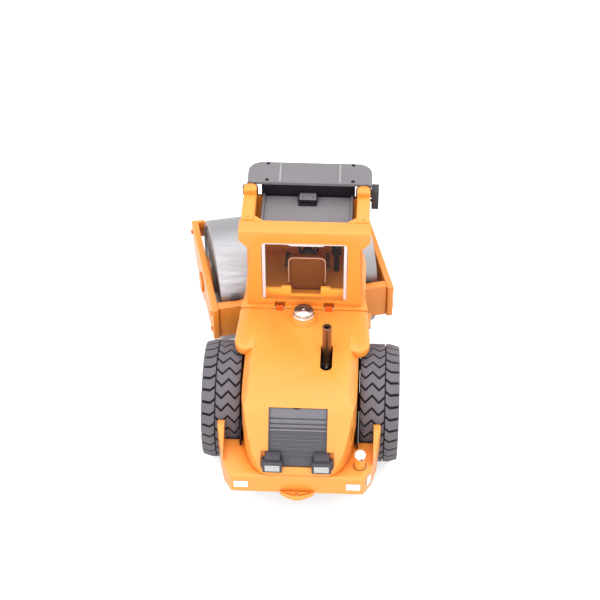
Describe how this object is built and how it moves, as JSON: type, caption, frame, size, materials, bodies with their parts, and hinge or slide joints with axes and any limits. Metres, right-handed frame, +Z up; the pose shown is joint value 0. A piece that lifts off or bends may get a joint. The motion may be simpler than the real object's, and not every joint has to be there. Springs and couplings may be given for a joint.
{
  "type": "toy road roller",
  "caption": "Articulated toy road roller with a glazed cab, rear-lifting engine hood, smooth front drum in a box frame and lugged rear tyres.",
  "frame": {"origin": "centre of the bounding box at ground level, in the displayed pose with the drum unit turned left", "axes": "+Y forwards from the engine to the drum, along the rear unit; +X to the right of the driver; +Z up"},
  "size_m": [0.0664, 0.1154, 0.0672],
  "materials": {
    "body_paint": "semi-gloss yellow-orange enamel on die-cast metal",
    "frame_paint": "semi-gloss orange enamel on the drum frame",
    "chassis_dark": "matt dark grey moulding",
    "dark_plastic": "satin dark grey moulding with a fine grain",
    "black_plastic": "matt black moulding",
    "seat_plastic": "glossy brown-orange moulding",
    "steel": "turned bright steel",
    "bronze": "dull brown bronze",
    "chrome": "bright plated",
    "drum_metal": "satin silver, turned",
    "engine_grey": "cast, dull",
    "tyre": "matt black-grey rubber",
    "rim_paint": "semi-gloss enamel",
    "glass": "clear moulding, slightly smoky",
    "lens": "white translucent lens",
    "mirror": "plated"
  },
  "bodies": {
    "rear_unit": {"rear_chassis": "chassis_dark", "axle_bushes": "bronze", "rear_bumper": "body_paint", "tow_hitch": "body_paint", "bumper_reflectors": "lens", "fuel_cap": "lens", "engine_block": "engine_grey", "rocker_cover": "frame_paint", "radiator": "black_plastic", "radiator_fan": "black_plastic", "exhaust_pipe": "bronze", "exhaust_clamp": "steel", "hood_hinge_pins": "steel", "cab_base": "body_paint", "cab_rear_frame": "body_paint", "cab_side_left": "body_paint", "cab_side_right": "body_paint", "cab_front_frame": "body_paint", "glass_rear": "glass", "glass_left": "glass", "glass_right": "glass", "glass_front": "glass", "interior_bulkhead": "frame_paint", "seat_base": "black_plastic", "seat": "seat_plastic", "armrests": "black_plastic", "steering_column": "black_plastic", "steering_wheel": "black_plastic", "control_lever": "black_plastic", "roof_panel": "dark_plastic", "roof_struts": "dark_plastic", "roof_latch": "dark_plastic", "roof_header": "black_plastic", "roof_visor": "dark_plastic", "visor_screws": "steel", "mirror_housing": "dark_plastic", "mirror_glass": "mirror", "cab_steps": "chassis_dark"},
    "hood_unit": {"hood": "body_paint", "hood_shoulders": "body_paint", "grille": "dark_plastic", "work_lamp_housings": "dark_plastic", "work_lamp_lenses": "lens", "air_cleaner_cap": "chrome"},
    "rear_wheels": {"rear_axle": "steel", "rear_rim_left": "rim_paint", "rear_rim_right": "rim_paint", "rear_tyre_left": "tyre", "rear_tyre_right": "tyre"},
    "drum_frame": {"frame_plate_left": "frame_paint", "frame_plate_right": "frame_paint", "frame_rear_beam": "frame_paint", "frame_front_beam": "frame_paint", "articulation_yoke": "frame_paint", "articulation_pin": "steel", "drum_journals": "black_plastic", "frame_bolts": "steel", "drum_scraper": "frame_paint"},
    "drum": {"drum_shell": "drum_metal", "drum_end_discs": "chassis_dark"}
  },
  "joints": [
    {"name": "articulation", "type": "hinge", "parent": "rear_unit", "child": "drum_frame", "pos_m": [0.00518, 0.00521, 0.02], "axis": [0, 0, 1], "range_deg": [-40, 13.5]},
    {"name": "drum_spin", "type": "hinge", "parent": "drum_frame", "child": "drum", "pos_m": [-0.00109, 0.03116, 0.0188], "axis": [0.972, 0.2351, 0], "continuous": true},
    {"name": "rear_wheel_spin", "type": "hinge", "parent": "rear_unit", "child": "rear_wheels", "pos_m": [0.00518, -0.02369, 0.017], "axis": [1, 0, 0], "continuous": true},
    {"name": "hood_lift", "type": "hinge", "parent": "rear_unit", "child": "hood_unit", "pos_m": [0.00518, -0.00539, 0.0363], "axis": [-1, 0, 0], "range_deg": [0, 34]}
  ]
}
